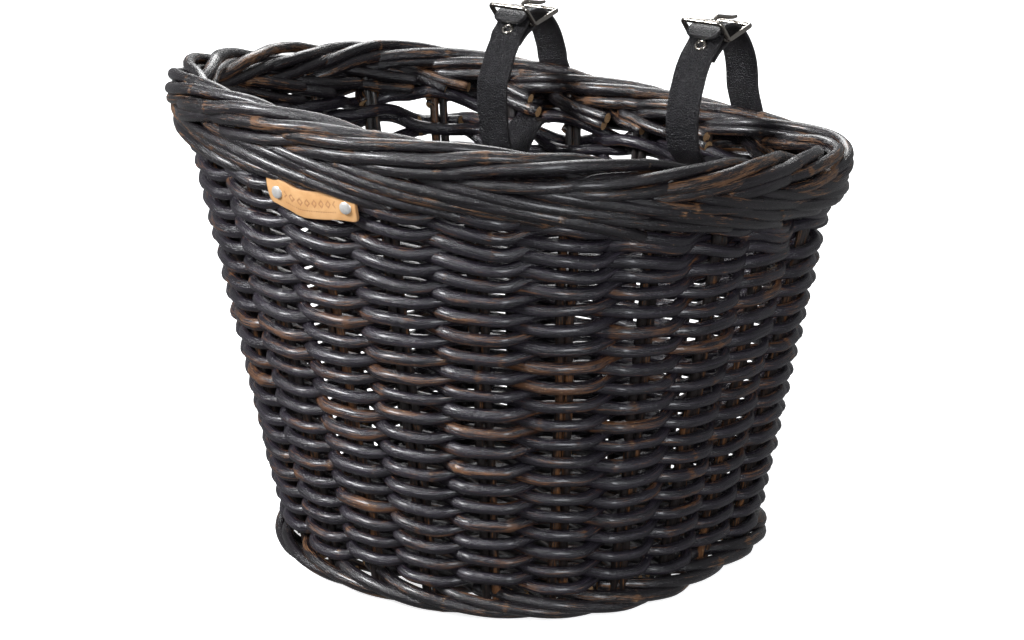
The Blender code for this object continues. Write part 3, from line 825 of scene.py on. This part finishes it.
def tube(path, radius, sides=16, closed=False, wide=1.0):
    """Rings of a wire along a path; wide stretches the section across the path's own plane."""
    path = np.asarray(path, float)
    if closed:
        along = np.roll(path, -1, 0) - np.roll(path, 1, 0)
    else:
        along = np.gradient(path, axis=0)
    along /= np.linalg.norm(along, axis=1)[:, None]
    first = np.empty_like(path)
    start = np.cross(along[0], (0.3, 0.1, 1.0))
    first[0] = start / np.linalg.norm(start)
    for i in range(1, len(path)):
        step = first[i - 1] - along[i] * (first[i - 1] @ along[i])
        first[i] = step / np.linalg.norm(step)
    second = np.cross(along, first)
    turn = np.arange(sides) * 2 * math.pi / sides
    size = np.broadcast_to(np.asarray(radius, float), (len(path),))
    rings = path[:, None] + size[:, None, None] * (
        np.cos(turn)[None, :, None] * first[:, None] + wide * np.sin(turn)[None, :, None] * second[:, None]
    )
    faces = ring_faces(len(path), sides)
    if closed:
        miss = [np.linalg.norm(np.roll(rings[0], -j, 0) - rings[-1]) for j in range(sides)]
        shift = int(np.argmin(miss))
        last = (len(path) - 1) * sides
        faces = faces[:-2]
        for j in range(sides):
            onward = (j + 1) % sides
            faces.append((last + j, last + onward, (j + 1 + shift) % sides, (j + shift) % sides))
    return rings.reshape(-1, 3), faces


def rounded_corners(corners, radius, steps=7):
    """A closed line through the corners, each turned with an arc-like curve."""
    corners = np.asarray(corners, float)
    made = []
    for i, here in enumerate(corners):
        before, after = corners[i - 1], corners[(i + 1) % len(corners)]
        a = here + (before - here) / np.linalg.norm(before - here) * radius
        b = here + (after - here) / np.linalg.norm(after - here) * radius
        for t in np.linspace(0, 1, steps):
            made.append((1 - t) ** 2 * a + 2 * t * (1 - t) * here + t**2 * b)
    return np.array(made)


def joined(parts):
    """Several (points, faces) as one."""
    points, faces, count = [], [], 0
    for some, others in parts:
        points.append(np.asarray(some))
        faces += [tuple(i + count for i in f) for f in others]
        count += len(some)
    return np.vstack(points), faces


def build_buckle(side, strap):
    x = strap["x"]
    y, z = bar_centre(strap)
    centre = (0, 0)
    corners = [(-1, FRAME_FRONT), (1, FRAME_FRONT), (1, centre)]
    corners += [(1, FRAME_REAR), (-1, FRAME_REAR), (-1, centre)]
    corners = [(x + FRAME_HALF * s, y + a, z + b) for s, (a, b) in corners]
    frame_wire = tube(rounded_corners(corners, FRAME_BEND), WIRE_R, closed=True)
    bar = tube([(x + t * FRAME_HALF, y, z) for t in np.linspace(-1, 1, 9)], BAR_R * 0.92)
    points, faces = joined([frame_wire, bar])
    obj = mesh_piece("buckle_" + side, points, faces, [materials["nickel"]])
    place_piece(obj, "buckle_" + side, ["buckle_frame_" + side])

    turns = np.radians(np.linspace(-265, 60, 26))
    ring = [(PRONG_RING * math.cos(t), PRONG_RING * math.sin(t)) for t in turns]
    route = smooth_path([(x, y + a, z + b) for a, b in ring + list(PRONG_TONGUE)], 3)
    size = np.full(len(route), PRONG_R)
    size[-6:] *= np.linspace(1, 0.72, 6)
    points, faces = tube(route, size, sides=14, wide=1.25)
    obj = mesh_piece("buckle_prong_" + side, points, faces, [materials["nickel"]])
    place_piece(obj, "prong_" + side, ["prong_" + side])


def turned(profile, base, axis, count=36):
    axis = np.asarray(axis, float) / np.linalg.norm(axis)
    first = np.cross(axis, (0, 0, 1.0)) if abs(axis[2]) < 0.9 else np.array([1.0, 0, 0])
    first /= np.linalg.norm(first)
    second = np.cross(axis, first)
    turn = np.arange(count) * 2 * math.pi / count
    rings = []
    circle = np.cos(turn)[:, None] * first + np.sin(turn)[:, None] * second
    for radius, height in profile:
        rings.append(base + axis * height + radius * circle)
    return np.vstack(rings), ring_faces(len(profile), count)


def build_strap_rivet(side, strap):
    y, z = bar_centre(strap)
    head = np.array(RIVET_HEAD)
    base = np.array([strap["x"], y + RIVET_FROM_BAR[0], z + RIVET_FROM_BAR[1]])
    cap = [(4.05, 3.0), (4.1, 3.3), (3.85, 3.85), (3.3, 4.2)]
    cap += [(2.6, 4.15), (2.1, 3.8), (1.9, 3.3), (1.85, 0.5)]
    back = [(1.85, -2.0), (1.9, -3.3), (3.3, -3.35), (3.45, -3.7), (3.1, -4.1), (1.5, -4.3), (0.4, -4.3)]
    rim = turned(smooth_profile(cap) + [(1.5, 0.4), (0.3, 0.4)], base, head)
    under = turned(smooth_profile(back[::-1]), base, head)
    points, faces = joined([rim, under])
    obj = mesh_piece("strap_eyelet_" + side, points, faces, [materials["nickel"], materials["hole"]])
    head /= np.linalg.norm(head)
    radial = np.linalg.norm(points - base - np.outer((points - base) @ head, head), axis=1)
    # The eyelet's inner wall and the disc at the bottom of its hole get the near-black painted shade.
    for polygon in obj.data.polygons:
        if max(radial[v] for v in polygon.vertices) < 1.95 and polygon.index < len(rim[1]):
            polygon.material_index = 1
    place_piece(obj, "strap_" + side, ["strap_rivet_" + side])


def smooth_profile(profile, step=3):
    return [tuple(p) for p in smooth_path(np.array(profile), step)]


def label_line(share):
    """Middle of the label's thickness at shares of its length, and the outward normals."""
    x = LABEL_X[0] + share * (LABEL_X[1] - LABEL_X[0])
    line = smooth_path(np.column_stack([LABEL_SHARES, LABEL_HEIGHTS]), 8)
    height = np.interp(share, line[:, 0], line[:, 1])
    angles = np.linspace(math.pi * 1.1, math.pi * 1.9, 1500)
    made = []
    for one_x, one_z in zip(x, height):
        points = plan_at(angles, one_z, LABEL_OUT)
        made.append(angles[np.argmin(np.abs(points[:, 0] - one_x))])
    angle = np.array(made)
    middle = plan_at(angle, height, LABEL_OUT)
    return middle, plan_at(angle, height, LABEL_OUT + 1) - middle


def build_label():
    share = np.linspace(0, 1, 81)
    middle, normal = label_line(share)
    length = LABEL_X[1] - LABEL_X[0]
    lean = (RIM_PLAN[1] - BASE_PLAN[1]) / PLAN_HEIGHT
    rings, flats, edges = [], [], []
    section, edge = rounded_band(LABEL_TALL, LABEL_THICK, LABEL_EDGE)
    for i, s in enumerate(share):
        near = min(s, 1 - s) * length
        narrow = 1.0
        if near < LABEL_CORNER:
            cut = LABEL_CORNER - math.sqrt(max(0.0, LABEL_CORNER**2 - (LABEL_CORNER - near) ** 2))
            narrow = 1 - cut / (LABEL_TALL / 2)
        up, out = section[:, 0] * narrow, section[:, 1]
        bow = 0.5 * np.cos(section[:, 0] / LABEL_TALL * math.pi) + 0.45 * math.sin(s * 9.0)
        rings.append(middle[i] + np.outer(out + up * lean + bow, normal[i]) + np.outer(up, (0, 0, 1.0)))
        flats.append(np.column_stack([np.full(len(up), (s - 0.5) * length), up, out]))
        edges.append(np.maximum(edge, np.clip(1 - near / 0.5, 0, 1)))
    faces = ring_faces(len(rings), len(section))
    obj = mesh_piece("tan_label", np.vstack(rings), faces, [materials["label"]])
    add_layers(obj.data, np.vstack(flats), np.concatenate(edges))
    obj.data.set_sharp_from_angle(angle=math.radians(60))
    place_piece(obj, "basket", ["label"])
    for name, x in zip(("left", "right"), LABEL_RIVETS):
        at = np.array([(x - LABEL_X[0]) / length])
        base, out = label_line(at)
        cap = [(3.75, 1.2), (3.8, 1.75), (3.6, 2.2), (3.0, 2.6), (2.0, 2.95), (1.0, 3.1), (0.2, 3.15)]
        points, faces = turned(smooth_profile(cap), base[0], out[0])
        obj = mesh_piece("label_stud_" + name, points, faces, [materials["rivet"]])
        place_piece(obj, "basket", ["label_rivet_" + name])


# ---------------------------------------------------------------- the studio


def build_camera():
    a, e = math.radians(CAMERA_AZIMUTH), math.radians(CAMERA_ELEVATION)
    back = Vector((math.sin(a) * math.cos(e), -math.cos(a) * math.cos(e), math.sin(e)))
    data = bpy.data.cameras.new("camera")
    data.lens, data.sensor_width = CAMERA_LENS, 36.0
    data.shift_y = CAMERA_SHIFT
    camera = bpy.data.objects.new("camera", data)
    camera.location = Vector(CAMERA_TARGET) + back * CAMERA_DISTANCE
    camera.rotation_euler = (-back).to_track_quat("-Z", "Y").to_euler()
    bpy.context.scene.collection.objects.link(camera)
    bpy.context.scene.camera = camera


def add_light(name, place, target, size, power, colour):
    data = bpy.data.lights.new(name, "AREA")
    data.shape, data.size, data.size_y = "RECTANGLE", size[0], size[1]
    data.energy, data.color = power, colour
    light = bpy.data.objects.new(name, data)
    light.location = place
    light.rotation_euler = (Vector(target) - Vector(place)).to_track_quat("-Z", "Y").to_euler()
    bpy.context.scene.collection.objects.link(light)


def add_backdrop(name, mesh, surface, height):
    """Something only the camera sees, so that it doesn't wash out the dark canes."""
    mesh.materials.append(surface)
    obj = bpy.data.objects.new(name, mesh)
    obj.location.z = height
    bpy.context.scene.collection.objects.link(obj)
    obj.visible_glossy = False
    obj.visible_transmission = False
    return obj


def build_studio():
    reach = BACKDROP_RADIUS
    mesh = bpy.data.meshes.new("floor")
    corners = [(-reach, -reach, 0), (reach, -reach, 0), (reach, reach, 0), (-reach, reach, 0)]
    mesh.from_pydata(corners, [], [(0, 1, 2, 3)])
    floor = add_backdrop("floor", mesh, floor_surface(), -0.0002)
    floor.visible_diffuse = False
    shell = bpy.data.meshes.new("backdrop")
    made = bmesh.new()
    bmesh.ops.create_icosphere(made, subdivisions=4, radius=reach)
    made.to_mesh(shell)
    made.free()
    backdrop = add_backdrop("backdrop", shell, backdrop_surface(), 0.0)
    backdrop.visible_diffuse = False
    backdrop.visible_shadow = False
    world = bpy.data.worlds.new("studio")
    world.use_nodes = True
    world.node_tree.nodes["Background"].inputs["Color"].default_value = rgb(0.97, 0.98, 1.0)
    world.node_tree.nodes["Background"].inputs["Strength"].default_value = SKY_STRENGTH
    bpy.context.scene.world = world
    bpy.context.scene.view_settings.view_transform = "Standard"
    for name, place, size, power, colour in LIGHTS:
        add_light(name, place, (0, 0, 0.15), size, power, colour)


build_rows()
build_fan_rows()
build_stakes()
build_border()
build_foot()
build_floor()
for strap_side, strap_sizes in STRAPS.items():
    build_strap(strap_side, strap_sizes)
    build_buckle(strap_side, strap_sizes)
    build_strap_rivet(strap_side, strap_sizes)
build_label()
build_camera()
build_studio()
